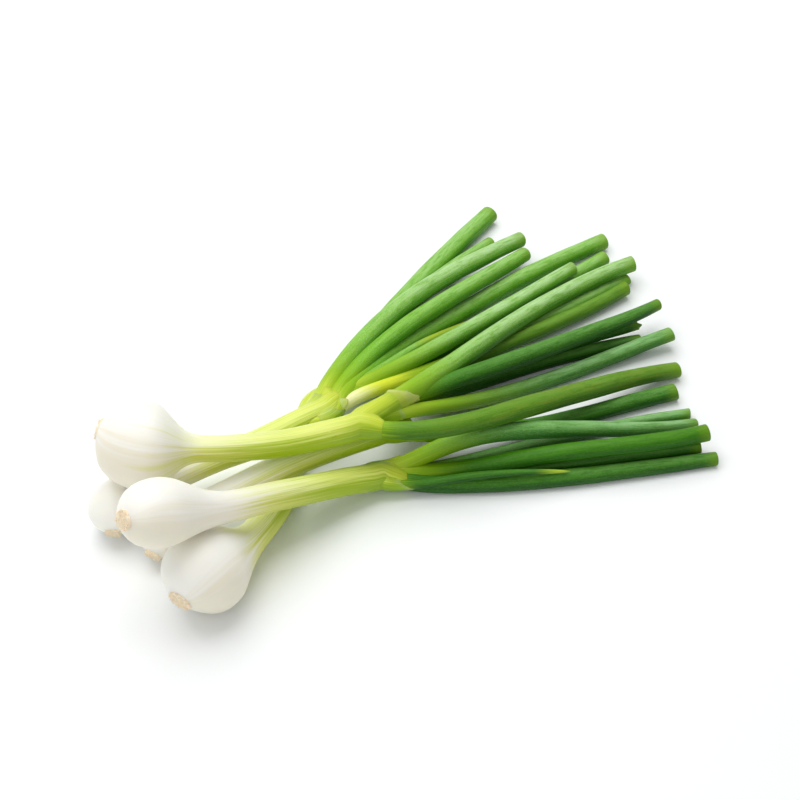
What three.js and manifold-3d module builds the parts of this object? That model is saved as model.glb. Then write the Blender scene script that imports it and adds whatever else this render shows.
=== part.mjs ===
// A loose bunch of five spring onions lying on a flat surface at z = 0.
// Millimetres, +Z up. The bulbs lie towards -X, the cut leaves fan out towards +X and +Y.
//
// Each plant is a bulb drawn out into its pale shank (one piece), a trimmed root plate with
// its stubble, hollow tubular leaves that come out of the throat one round the other, and
// here and there a papery sheath round the inner leaves. The plants are laid in the order
// they would be dropped: each strand bends like a springy rod over the surface and over the
// strands already there.
import * as THREE from "three";
import Module from "manifold-3d";

const wasm = await Module();
wasm.setup();

// ---- Sizes shared by the whole bunch ----
const CLEAR = 0.5; // air between strands that lie on each other
const SLIT = 0.3; // air between pieces of one plant that grow round each other
const STATION = 5; // spacing of the points a strand is bent at
const LEAF_SIDES = 10;
const LEAF_RING = 11; // spacing of the rings of a leaf
const LEAF_WALL = 0.8;
const HOLLOW = 9; // how far a cut end is open
const SHEATH_WALL = 0.9;
const BULB_SIDES = 16;
const BULB_RINGS = [0, 0.12, 0.3, 0.55, 0.85, 1.15, 1.45, 1.75, 2.05, 2.4, 2.9];
const SHANK_RING = 11;
const PLATE = 1; // height of the root plate
const PEGS = 9; // cut roots left on a plate
const SUNK = 0.975; // height of a strand's middle over the surface, as a share of its radius
const SPREAD = [0.16, 0.6]; // a leaf parts from the others over this stretch of its length
const WEIGHT = 2e-3; // sag of a rod under its own weight, against its stiffness
const HARD = 1e3; // how firmly a rod is held up by what it lies on
const FINISH = {
  bulb: { color: 0xf1efe4, roughness: 0.42, metalness: 0 },
  roots: { color: 0xc9a77c, roughness: 0.85, metalness: 0 },
  leaf: { color: 0x4f8f34, roughness: 0.48, metalness: 0 },
  sheath: { color: 0xdfe6c4, roughness: 0.6, metalness: 0 },
};

const degrees = THREE.MathUtils.degToRad;
const mix = THREE.MathUtils.lerp;
const UP = new THREE.Vector3(0, 0, 1);

// ---- The plants, in the order they lie ----
// bulb: its radius, the radius of its base where the roots sit, the length from the base to
// where it is widest, how quickly it draws in to the shank, and how far the root end hangs
// down. shank: its widths at the bulb and at the collar.
// route: plan points under the middle of bulb and shank, from the root end to the collar.
// leaves: tip is where the end lies in plan; heads are its headings at the throat and at the
// end, in degrees from +X; widths are taken at the throat, half way and at the end; back is
// how far before the collar it starts; left is how far it starts to the left of the middle.
// sheath: the leaf it wraps, and where along that leaf it runs.
const PLANTS = {
  onion_5: {
    bulb: { radius: 17.6, base: 4.8, length: 18, drawn: 0.95, power: 2.4, droop: 4 },
    shank: [13.4, 12.2],
    route: [[-87.2, -114], [-75, -96], [-62, -80], [-50, -53], [-45, -25], [-38, 4]],
    leaves: [
      { tip: [43, 137], heads: [64, 54], widths: [7, 9, 8.2], back: 12, left: 1 },
      { tip: [42.5, 116.5], heads: [60, 48], widths: [6.4, 7, 6.4], back: 10, left: -2 },
    ],
  },
  onion_3: {
    bulb: { radius: 12.2, base: 3.4, length: 11, drawn: 0.95, power: 2.4, droop: 2.5 },
    shank: [12.0, 11.6],
    route: [[-118, -71], [-116, -59], [-104, -50], [-78, -36], [-61, -29], [-33, -12]],
    leaves: [
      { tip: [96, 106], heads: [52, 41], widths: [7.1, 7.6, 7], back: 6, left: -1 },
      { tip: [96.5, 117.5], heads: [70, 31], widths: [8, 8.6, 7.6], back: 12, left: -4 },
      { tip: [58.5, 103], heads: [72, 47], widths: [6.6, 8.6, 7.2], back: 8, left: -1 },
      { tip: [56.5, 110.5], heads: [73, 38], widths: [7.4, 9, 7.2], back: 10, left: 4.5 },
      { tip: [45, 74], heads: [42, 39], widths: [4, 3.8, 1.2], back: 4, left: 3 },
      { tip: [80, 90.5], heads: [42, 41], widths: [6, 7.2, 6.2], back: 6, left: 3 },
      { tip: [105.5, 92], heads: [48, 37], widths: [5.8, 6.4, 5.6], back: 6, left: -3 },
    ],
    sheath: { leaf: 7, from: 4, to: 16 },
  },
  onion_4: {
    bulb: { radius: 11, base: 3.6, length: 11, drawn: 0.95, power: 2.4, droop: 1 },
    shank: [12.2, 11.6],
    route: [[-101, -82], [-95, -72], [-82, -63], [-68, -56], [-42, -42], [-6, -21]],
    leaves: [
      { tip: [121.5, 16.5], heads: [1, 17], widths: [8, 8, 7.6], back: 10, left: -2.5 },
      { tip: [108.5, 50], heads: [59, 14], widths: [7, 7, 6], back: 12, left: 1 },
      { tip: [108.5, 58], heads: [60, 31], widths: [6.6, 6.6, 5.8], back: 8, left: 2.5 },
      { tip: [104.5, 83.5], heads: [70, 40], widths: [6.4, 6.8, 6.4], back: 6, left: 3.5 },
    ],
  },
  onion_2: {
    bulb: { radius: 14, base: 4.2, length: 16, drawn: 1.1, power: 2, droop: 0 },
    shank: [13.2, 11.6],
    route: [[-106.8, -106], [-95, -97], [-72, -85], [-49, -67], [-21, -46], [-7, -38]],
    leaves: [
      { tip: [135.5, -23.5], heads: [-6, 11], widths: [6.5, 7.4, 6], back: 10, left: -3 },
      { tip: [129, -17.5], heads: [11, 14], widths: [6.4, 6.6, 6], back: 10, left: 0 },
      { tip: [126.5, 4], heads: [15, 11], widths: [5.6, 5.8, 5], back: 6, left: 2.5 },
      { tip: [128.5, -2], heads: [21, 24], widths: [7, 8, 4.8], back: 8, left: 3.5 },
      { tip: [131.5, -16.5], heads: [12, 20], widths: [8.6, 8, 7.6], back: 12, left: 2 },
      { tip: [72, -36], heads: [2, 6], widths: [4, 3.8, 1.2], back: 4, left: -4.5 },
    ],
    sheath: { leaf: 5, from: 6, to: 17 },
  },
  onion_1: {
    bulb: { radius: 18.4, base: 4.8, length: 18.4, drawn: 0.77, power: 2.8, droop: 0 },
    shank: [10.4, 12],
    route: [[-122.4, -45.5], [-104, -52], [-82, -51], [-49, -45], [-29, -38], [-16, -32.5]],
    leaves: [
      { tip: [123.5, 30.5], heads: [-14, 22], widths: [6.4, 9.4, 7.2], back: 10, left: -3 },
      { tip: [122, 49.5], heads: [46, 23], widths: [5, 7, 6.6], back: 2, left: -1 },
      { tip: [117, 63.5], heads: [54, 40], widths: [7, 8.4, 5.4], back: 0, left: 3 },
      { tip: [108, 95], heads: [46, 24], widths: [8.8, 8.4, 7.2], back: 8, left: 1 },
    ],
    sheath: { leaf: 4, from: 31, to: 43 },
  },
};

// ---- Strands ----
const flat = ([x, y]) => new THREE.Vector3(x, y, 0);
const heading = (angle) => new THREE.Vector3(Math.cos(degrees(angle)), Math.sin(degrees(angle)), 0);
const smooth = (points) => new THREE.CatmullRomCurve3(points, false, "centripetal");

/** A bent rod: evenly spaced points, and its radius as a function of the distance along it. */
class Strand {
  constructor(points, step, radius) {
    Object.assign(this, { points, step, radius, length: step * (points.length - 1) });
    this.radii = points.map((_, i) => radius(i * step));
  }

  /** A strand whose plan follows a curve. */
  static along(curve, radius) {
    const count = Math.round(curve.getLength() / STATION);
    return new Strand(curve.getSpacedPoints(count), curve.getLength() / count, radius);
  }

  /** The point and direction at a distance along the strand. */
  at(distance) {
    const last = this.points.length - 1;
    const place = THREE.MathUtils.clamp(distance / this.step, 0, last);
    const i = Math.min(Math.floor(place), last - 1);
    const chord = (k) => {
      const a = this.points[Math.max(k - 1, 0)], b = this.points[Math.min(k + 1, last)];
      return b.clone().sub(a).normalize();
    };
    return {
      point: this.points[i].clone().lerp(this.points[i + 1], place - i),
      direction: chord(i).lerp(chord(i + 1), place - i).normalize(),
    };
  }
}

/** How high a rod of this radius has to lie at a plan point, over the surface and the pile. */
function heightNeeded(point, radius, pile) {
  let height = radius * SUNK;
  for (const { strand, from } of pile) {
    for (let i = from ? Math.ceil(from[0] / strand.step) : 0; i + 1 < strand.points.length; i++) {
      const a = strand.points[i], b = strand.points[i + 1];
      const dx = b.x - a.x, dy = b.y - a.y, run = dx * dx + dy * dy;
      const t = THREE.MathUtils.clamp(((point.x - a.x) * dx + (point.y - a.y) * dy) / run, 0, 1);
      const away = Math.hypot(point.x - a.x - t * dx, point.y - a.y - t * dy);
      const apart = from ? THREE.MathUtils.smoothstep((i + t) * strand.step, ...from) : 1;
      const reach = apart * (radius + mix(strand.radii[i], strand.radii[i + 1], t) + CLEAR);
      if (away >= reach) continue;
      const slope = Math.hypot(1, (b.z - a.z) / Math.sqrt(run));
      height = Math.max(height, mix(a.z, b.z, t) + slope * Math.sqrt(reach ** 2 - away ** 2));
    }
  }
  return height;
}

/**
 * Lays a strand over the pile: the rod of least bending that clears everything under it.
 * Its first `held` points keep the height they have.
 */
function settle({ points, radii }, pile, held = 0) {
  const n = points.length;
  const floor = points.map((p, i) => (i < held ? p.z : heightNeeded(p, radii[i], pile)));
  let rests = floor.map(() => true);
  let z = floor;
  for (let round = 0; round < 200; round++) {
    // The stiffness matrix reaches two points either way; row[i][k] couples point i and i + k.
    const row = floor.map(() => [1e-9, 0, 0]), pull = radii.map((r) => -WEIGHT * (r / 5) ** 2);
    for (let k = 1; k + 1 < n; k++) {
      const stiff = (radii[k] / 5) ** 4;
      [1, -2, 1].forEach((a, i) =>
        [1, -2, 1].slice(i).forEach((b, j) => (row[k - 1 + i][j] += stiff * a * b)));
    }
    rests.forEach((touching, i) => {
      if (!touching) return;
      row[i][0] += HARD;
      pull[i] += HARD * floor[i];
    });
    for (let i = 0; i < n; i++) {
      for (let j = 1; j < 3 && i + j < n; j++) {
        const share = row[i][j] / row[i][0];
        for (let k = j; k < 3 && i + k < n; k++) row[i + j][k - j] -= share * row[i][k];
        pull[i + j] -= share * pull[i];
      }
    }
    z = floor.slice();
    for (let i = n - 1; i >= 0; i--) {
      let sum = pull[i];
      for (let j = 1; j < 3 && i + j < n; j++) sum -= row[i][j] * z[i + j];
      z[i] = sum / row[i][0];
    }
    const next = rests.map((_, i) => i < held || z[i] < floor[i] + (rests[i] ? 1e-9 : 0));
    if (next.every((touching, i) => touching === rests[i])) break;
    rests = next;
  }
  points.forEach((p, i) => (p.z = Math.max(z[i], floor[i])));
}

// ---- Solids ----
const solid = (positions, triangles) =>
  new wasm.Manifold(
    new wasm.Mesh({
      numProp: 3,
      vertProperties: new Float32Array(positions),
      triVerts: new Uint32Array(triangles),
    }),
  );

/** A closed solid skinned over rings of points, its ends closed flat. */
function skin(rings) {
  const sides = rings[0].length, positions = [], triangles = [];
  for (const ring of rings) for (const p of ring) positions.push(p.x, p.y, p.z);
  for (let i = 0; i + 1 < rings.length; i++) {
    for (let k = 0; k < sides; k++) {
      const a = i * sides + k, b = i * sides + ((k + 1) % sides);
      triangles.push(a, b, b + sides, a, b + sides, a + sides);
    }
  }
  const end = (rings.length - 1) * sides;
  for (let k = 1; k + 1 < sides; k++) {
    triangles.push(0, k + 1, k, end, end + k, end + k + 1);
  }
  return solid(positions, triangles);
}

/** The space under the surface the bunch lies on: what would dip into it is pressed flat. */
const UNDER = skin(
  [-60, 0].map((z) => [45, 135, 225, 315].map((angle) => heading(angle).multiplyScalar(400).setZ(z))),
);

/** A ring of points round a strand, a flat side down, its radius changed by `extra`. */
function ringOf(strand, distance, sides, extra = 0) {
  const { point, direction } = strand.at(distance);
  const side = new THREE.Vector3(0, 0, 1).cross(direction).normalize();
  const up = direction.clone().cross(side);
  const corner = (strand.radius(distance) + extra) / Math.sqrt(Math.cos(Math.PI / sides));
  return Array.from({ length: sides }, (_, k) => {
    const turn = ((k + 0.5) / sides) * 2 * Math.PI;
    return point
      .clone()
      .addScaledVector(side, corner * Math.sin(turn))
      .addScaledVector(up, -corner * Math.cos(turn));
  });
}

/** The distances at which rings are set: evenly from one end to the other. */
function stops(from, to, spacing) {
  const count = Math.max(1, Math.round((to - from) / spacing));
  return Array.from({ length: count + 1 }, (_, i) => mix(from, to, i / count));
}

/** A tubular leaf, open at its cut end. With `extra` it is grown for cutting its neighbours. */
function leafSolid(strand, extra = 0) {
  const end = strand.length;
  const rings = stops(0, end, LEAF_RING).map((s) => ringOf(strand, s, LEAF_SIDES, extra));
  if (!extra && strand.radius(end) > 2 * LEAF_WALL) {
    rings.push(ringOf(strand, end, LEAF_SIDES, -LEAF_WALL));
    rings.push(ringOf(strand, end - HOLLOW, LEAF_SIDES, -LEAF_WALL));
  }
  return skin(rings);
}

/** Bulb and shank: rings close together over the bulb, wide apart along the shank. */
function bulbSolid(strand, { length }) {
  const near = BULB_RINGS.map((share) => share * length);
  const all = [...near, ...stops(near.at(-1) + SHANK_RING, strand.length, SHANK_RING)];
  return skin(all.map((s) => ringOf(strand, s, BULB_SIDES)));
}

/** The trimmed root plate: a low dome on the base of the bulb, with cut roots round it. */
function rootSolid(strand, { base }) {
  const { point, direction } = strand.at(0);
  const out = direction.clone().negate(), side = UP.clone().cross(out).normalize();
  const round = out.clone().cross(side);
  const circle = (centre, radius, sides, turned = 0) =>
    Array.from({ length: sides }, (_, k) => {
      const turn = (k / sides) * 2 * Math.PI + turned;
      return centre
        .clone()
        .addScaledVector(side, radius * Math.cos(turn))
        .addScaledVector(round, radius * Math.sin(turn));
    });
  const at = (away) => point.clone().addScaledVector(out, away);
  let body = skin([
    circle(at(SLIT), base, 12),
    circle(at(SLIT + 0.6 * PLATE), 0.92 * base, 12),
    circle(at(SLIT + PLATE), 0.6 * base, 12),
  ]);
  for (let k = 0; k < PEGS; k++) {
    // A sunflower spiral spreads the roots evenly; their lengths step through a short cycle.
    const turn = k * 2.4, far = 0.82 * base * Math.sqrt((k + 0.5) / PEGS);
    const foot = at(SLIT + 0.5 * PLATE)
      .addScaledVector(side, far * Math.cos(turn))
      .addScaledVector(round, far * Math.sin(turn));
    const lean = out.clone().addScaledVector(foot.clone().sub(at(-8)), 0.12).normalize();
    const tip = foot.clone().addScaledVector(lean, 0.8 + 0.25 * ((k * 3) % 4));
    body = body.add(skin([circle(foot, 0.62, 4, k), circle(tip, 0.42, 4, k)]));
  }
  return body;
}

/** A thin papery sleeve round a stretch of a leaf. */
function sheathSolid(strand, { from, to }) {
  const rings = stops(from, to, 7).map((s) => ringOf(strand, s, LEAF_SIDES, SLIT + SHEATH_WALL));
  return skin(rings).subtract(leafSolid(strand, SLIT));
}

/** The radius of bulb and shank at a distance from the root end. */
function bulbRadius({ radius, base, length, drawn, power }, [wide, narrow], total) {
  return (s) => {
    const shank = mix(wide, narrow, Math.min(1, s / total)) / 2;
    if (s < length) {
      const out = 1 - s / length;
      return Math.max(base * (1 - 0.1 * s), radius * Math.sqrt(Math.max(0, 1 - out ** 2.3)));
    }
    return shank + (radius - shank) * Math.exp(-(((s - length) / (drawn * radius)) ** power));
  };
}

/** The radius of a leaf: a curve through its three widths. */
function leafRadius([first, middle, last], total) {
  return (s) => {
    const t = THREE.MathUtils.clamp(s / total, 0, 1);
    return (first * (1 - t) * (1 - 2 * t) + middle * 4 * t * (1 - t) + last * t * (2 * t - 1)) / 2;
  };
}

/** The shank near its collar, grown for cutting a sheath that lies against it. */
function throatCutter(strand) {
  const all = stops(strand.length - 30, strand.length, SHANK_RING);
  return skin(all.map((s) => ringOf(strand, s, BULB_SIDES, SLIT)));
}

/** The largest of the bodies a cut leaves. */
const largest = (cut) =>
  cut.decompose().reduce((best, body) => (body.volume() > best.volume() ? body : best));

/** A solid as a named mesh. */
function meshOf(name, body, finish) {
  const { vertProperties, triVerts, numProp } = body.getMesh();
  const corners = new Float32Array(triVerts.length * 3);
  triVerts.forEach((v, i) => corners.set(vertProperties.subarray(v * numProp, v * numProp + 3), i * 3));
  const geometry = new THREE.BufferGeometry();
  geometry.setAttribute("position", new THREE.BufferAttribute(corners, 3));
  geometry.computeVertexNormals();
  const mesh = new THREE.Mesh(geometry, new THREE.MeshStandardMaterial(finish));
  mesh.name = name;
  return mesh;
}

// ---- Growing a plant ----

/** The plan of a leaf, from inside the throat out to its end. */
function leafPlan({ tip, heads, back, left }, shank) {
  const collar = shank.at(shank.length), base = shank.at(shank.length - back);
  const aside = UP.clone().cross(collar.direction).setZ(0).normalize().multiplyScalar(left);
  const mouth = collar.point.clone().add(aside).setZ(0), end = flat(tip);
  const reach = mouth.distanceTo(end) / 3;
  const blade = new THREE.CubicBezierCurve3(
    mouth,
    mouth.clone().addScaledVector(heading(heads[0]), reach),
    end.clone().addScaledVector(heading(heads[1]), -reach),
    end,
  );
  const points = blade.getSpacedPoints(16);
  const start = base.point.clone().addScaledVector(aside, 0.5).setZ(0);
  return smooth(back > 0 ? [start, ...points] : points);
}

/** Bends the shank, with the leaf that carries it on, over the pile as one rod. */
function layShank(plant, pile) {
  const route = smooth(plant.route.map(flat)), total = route.getLength();
  const radius = bulbRadius(plant.bulb, plant.shank, total);
  const onwards = leafPlan({ ...plant.leaves[0], back: 0, left: 0 }, Strand.along(route, radius));
  const whole = smooth([...route.getSpacedPoints(26), ...onwards.getSpacedPoints(28).slice(1)]);
  const leaf = leafRadius(plant.leaves[0].widths, whole.getLength() - total);
  const spine = Strand.along(whole, (s) => (s < total ? radius(s) : leaf(s - total)));
  settle(spine, pile);

  // The root end hangs down a little.
  const { length, droop } = plant.bulb;
  spine.points.forEach((point, k) => {
    point.z -= droop * Math.max(0, 1 - (k * spine.step) / length) ** 2;
  });
  const collar = Math.round(total / spine.step);
  const shank = new Strand(spine.points.slice(0, collar + 1), spine.step, radius);
  return { spine, shank, collar };
}

/** The leaves of a plant, each laid over the pile and over the leaves before it. */
function layLeaves(plant, { spine, shank, collar }, pile) {
  const inside = spine.points.slice(collar - Math.round(plant.leaves[0].back / spine.step));
  const first = leafRadius(plant.leaves[0].widths, spine.step * (inside.length - 1));
  const grown = [new Strand(inside, spine.step, first)];
  const { direction } = shank.at(shank.length);
  for (const leaf of plant.leaves.slice(1)) {
    const plan = leafPlan(leaf, shank);
    const strand = Strand.along(plan, leafRadius(leaf.widths, plan.getLength()));
    const held = Math.ceil((leaf.back + 4) / strand.step);
    for (let k = 0; k < held; k++) {
      const along = shank.length - leaf.back + k * strand.step;
      const beyond = Math.max(0, along - shank.length);
      strand.points[k].z = shank.at(along).point.z + beyond * direction.z;
    }
    const from = SPREAD.map((share) => share * strand.length);
    settle(strand, [...pile, ...grown.map((other) => ({ strand: other, from }))], held);
    grown.push(strand);
  }
  return grown;
}

// ---- The bunch ----
const bunch = new THREE.Group();
const pile = [];
const shanks = [];

for (const [name, plant] of Object.entries(PLANTS)) {
  const laid = layShank(plant, pile);
  const leaves = layLeaves(plant, laid, pile);
  shanks.push(laid.shank);
  pile.push(...[laid.shank, ...leaves].map((strand) => ({ strand })));

  // The thicker leaf keeps its round form, and the thinner one grows round it.
  const without = (body, others) =>
    others.reduce((rest, other) => rest.subtract(leafSolid(other, SLIT)), body);
  const add = (kind, body, finish) =>
    bunch.add(meshOf(`${name}_${kind}`, largest(body.subtract(UNDER)), finish));
  add("bulb", without(bulbSolid(laid.shank, plant.bulb), leaves), FINISH.bulb);
  add("roots", rootSolid(laid.shank, plant.bulb), FINISH.roots);
  leaves.forEach((leaf, i) => {
    const thicker = leaves.filter((other) => other.radii[0] > leaf.radii[0]);
    add(`leaf_${i + 1}`, without(leafSolid(leaf), thicker), FINISH.leaf);
  });
  if (plant.sheath) {
    const wrapped = leaves[plant.sheath.leaf - 1];
    const others = leaves.filter((leaf) => leaf !== wrapped);
    const sleeve = without(sheathSolid(wrapped, plant.sheath), others);
    const clear = shanks.reduce((rest, shank) => rest.subtract(throatCutter(shank)), sleeve);
    add("sheath", clear, FINISH.sheath);
  }
}

// The origin is the middle of the bunch's footprint, on the surface it lies on.
const middle = new THREE.Box3().setFromObject(bunch).getCenter(new THREE.Vector3());
bunch.children.forEach((mesh) => mesh.geometry.translate(-middle.x, -middle.y, 0));

export default bunch;
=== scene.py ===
"""Looks of a loose bunch of five spring onions lying on a table.

Every plant is laid by the same rule as its solids: each strand bends like a springy rod over
the table and over the strands under it. Round those strands go the fine skins: bulb and
shank, the melted throat where the leaves part, hollow leaves with cut ends, papery sheaths
and trimmed roots. Lengths are in millimetres until a mesh is made.
"""

import logging
import math
import random
from dataclasses import dataclass, field
from enum import Enum
from typing import Callable, Sequence, Union

import bmesh
import bpy
import numpy as np
from mathutils import Matrix, Vector


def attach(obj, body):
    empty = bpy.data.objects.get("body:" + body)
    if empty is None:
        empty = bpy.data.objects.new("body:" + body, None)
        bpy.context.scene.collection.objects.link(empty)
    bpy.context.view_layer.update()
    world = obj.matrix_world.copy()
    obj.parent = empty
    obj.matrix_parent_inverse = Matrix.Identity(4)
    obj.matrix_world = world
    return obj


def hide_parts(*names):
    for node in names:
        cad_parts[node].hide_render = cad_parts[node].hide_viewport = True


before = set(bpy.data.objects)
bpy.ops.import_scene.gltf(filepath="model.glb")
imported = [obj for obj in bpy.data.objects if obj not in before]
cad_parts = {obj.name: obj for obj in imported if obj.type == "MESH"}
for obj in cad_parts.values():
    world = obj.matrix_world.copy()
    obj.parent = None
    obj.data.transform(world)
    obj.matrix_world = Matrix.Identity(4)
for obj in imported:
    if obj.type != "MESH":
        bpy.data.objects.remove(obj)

log = logging.getLogger("spring_onions")
Pair = tuple[float, float]
Triple = tuple[float, float, float]
Colour = tuple[float, float, float]

MM = 0.001
ORIGIN = np.array([3.793, 10.803, 0.0])  # plan point that is the part's origin
CLEAR = 0.5  # air between strands that lie on each other
STATION = 5.0  # spacing of the points a strand is bent at
SUNK = 0.975  # height of a strand's middle over the table, as a share of its radius
SPREAD = (0.16, 0.6)  # a leaf parts from the others over this stretch of its length
WEIGHT = 2e-3  # sag of a strand under its own weight, against its stiffness
HARD = 1e3  # how firmly a strand is held up by what it lies on
THICK = 5.0  # radius of a strand that has a stiffness and a weight of 1
ROUNDS = 200  # after so many rounds of bending a strand lies still
TINY = 1e-9  # small enough to make no difference
UP = np.array([0.0, 0.0, 1.0])


# ---------------------------------------------------------------- strands


def smoothstep(value: np.ndarray, low: float, high: float) -> np.ndarray:
    """Eases from 0 at low to 1 at high."""
    share = np.clip((value - low) / (high - low), 0.0, 1.0)
    return share * share * (3 - 2 * share)


def unit(vectors: np.ndarray) -> np.ndarray:
    """Scales each vector to length 1."""
    return vectors / np.maximum(np.linalg.norm(vectors, axis=-1, keepdims=True), TINY)


def heading(angle: float) -> np.ndarray:
    """A level unit vector, its angle in degrees from +X."""
    return np.array([math.cos(math.radians(angle)), math.sin(math.radians(angle)), 0.0])


class Curve:
    """A smooth plan curve, sampled finely so that even spacing is a table lookup."""

    FINE = 200

    def __init__(self, at: Callable[[np.ndarray], np.ndarray]) -> None:
        """Samples a curve.

        Args:
            at: gives the points at parameters from 0 to 1.
        """
        self.at = at
        self.steps = np.linspace(0.0, 1.0, self.FINE + 1)
        gaps = np.linalg.norm(np.diff(at(self.steps), axis=0), axis=1)
        self.lengths = np.concatenate([[0.0], np.cumsum(gaps)])
        self.length = float(self.lengths[-1])

    def spaced(self, count: int) -> np.ndarray:
        """Points at even distances.

        Args:
            count: how many stretches the curve is divided into.

        Returns:
            count + 1 points, one a row.
        """
        wanted = np.linspace(0.0, self.length, count + 1)
        return self.at(np.interp(wanted, self.lengths, self.steps))

    @staticmethod
    def through(points: Sequence[Sequence[float]]) -> "Curve":
        """A centripetal spline through plan points.

        Args:
            points: the points it passes, in order.

        Returns:
            The curve.
        """
        p = np.array([[q[0], q[1], 0.0] for q in points])
        p = np.vstack([2 * p[0] - p[1], p, 2 * p[-1] - p[-2]])
        gaps = np.linalg.norm(np.diff(p, axis=0), axis=1) ** 0.5

        def at(t: np.ndarray) -> np.ndarray:
            """Points of the spline at parameters from 0 to 1."""
            place = t * (len(p) - 3)
            i = np.minimum(place.astype(int), len(p) - 4)
            w = (place - i)[:, None]
            p0, p1, p2, p3 = p[i], p[i + 1], p[i + 2], p[i + 3]
            d0, d1, d2 = gaps[i][:, None], gaps[i + 1][:, None], gaps[i + 2][:, None]
            t1 = ((p1 - p0) / d0 - (p2 - p0) / (d0 + d1) + (p2 - p1) / d1) * d1
            t2 = ((p2 - p1) / d1 - (p3 - p1) / (d1 + d2) + (p3 - p2) / d2) * d1
            return (
                p1 + t1 * w + (3 * (p2 - p1) - 2 * t1 - t2) * w**2
                + (2 * (p1 - p2) + t1 + t2) * w**3
            )

        return Curve(at)

    @staticmethod
    def bezier(a: np.ndarray, b: np.ndarray, c: np.ndarray, d: np.ndarray) -> "Curve":
        """A cubic Bezier curve.

        Args:
            a: where it starts.
            b: the point it sets out towards.
            c: the point it arrives from.
            d: where it ends.

        Returns:
            The curve.
        """

        def at(t: np.ndarray) -> np.ndarray:
            """Points of the curve at parameters from 0 to 1."""
            t = t[:, None]
            u = 1 - t
            return u**3 * a + 3 * u * u * t * b + 3 * u * t * t * c + t**3 * d

        return Curve(at)


Radius = Callable[[np.ndarray], np.ndarray]


class Strand:
    """A bent rod: evenly spaced points, and its radius by the distance along it."""

    def __init__(self, points: np.ndarray, step: float, radius: Radius) -> None:
        """Holds the points and works out their radii.

        Args:
            points: the rod's middle, one point a row.
            step: the distance between two points.
            radius: gives the radius at distances along the rod.
        """
        self.points, self.step, self.radius = points, step, radius
        self.length = step * (len(points) - 1)
        self.radii = radius(np.arange(len(points)) * step)

    @staticmethod
    def along(curve: Curve, radius: Radius) -> "Strand":
        """A level strand on a plan curve.

        Args:
            curve: the plan curve.
            radius: gives the radius at distances along it.

        Returns:
            The strand, with a point about every STATION.
        """
        count = round(curve.length / STATION)
        return Strand(curve.spaced(count), curve.length / count, radius)

    def at(self, distance: np.ndarray) -> tuple[np.ndarray, np.ndarray]:
        """Where the strand is, on a smooth curve through its points.

        Args:
            distance: distances along it; past an end it runs on straight.

        Returns:
            The points, and the unit directions there.
        """
        distance = np.atleast_1d(np.asarray(distance, float))
        p = self.points
        p = np.vstack([2 * p[0] - p[1], p, 2 * p[-1] - p[-2]])
        place = np.clip(distance / self.step, 0.0, len(p) - 3.0)
        i = np.minimum(place.astype(int), len(p) - 4)
        w = (place - i)[:, None]
        m1, m2 = (p[i + 2] - p[i]) / 2, (p[i + 3] - p[i + 1]) / 2
        gap = p[i + 2] - p[i + 1]
        c2, c3 = 3 * gap - 2 * m1 - m2, m1 + m2 - 2 * gap
        points = p[i + 1] + m1 * w + c2 * w**2 + c3 * w**3
        direction = unit(m1 + 2 * c2 * w + 3 * c3 * w**2)
        beyond = distance - np.clip(distance, 0.0, self.length)
        return points + direction * beyond[:, None], direction

    def frame(self, distance: np.ndarray) -> tuple[np.ndarray, ...]:
        """The points with the level side direction and the upward one.

        Args:
            distance: distances along the strand.

        Returns:
            Points, directions, sides and ups, one a row.
        """
        points, direction = self.at(distance)
        side = unit(np.cross(UP, direction))
        return points, direction, side, np.cross(direction, side)


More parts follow.
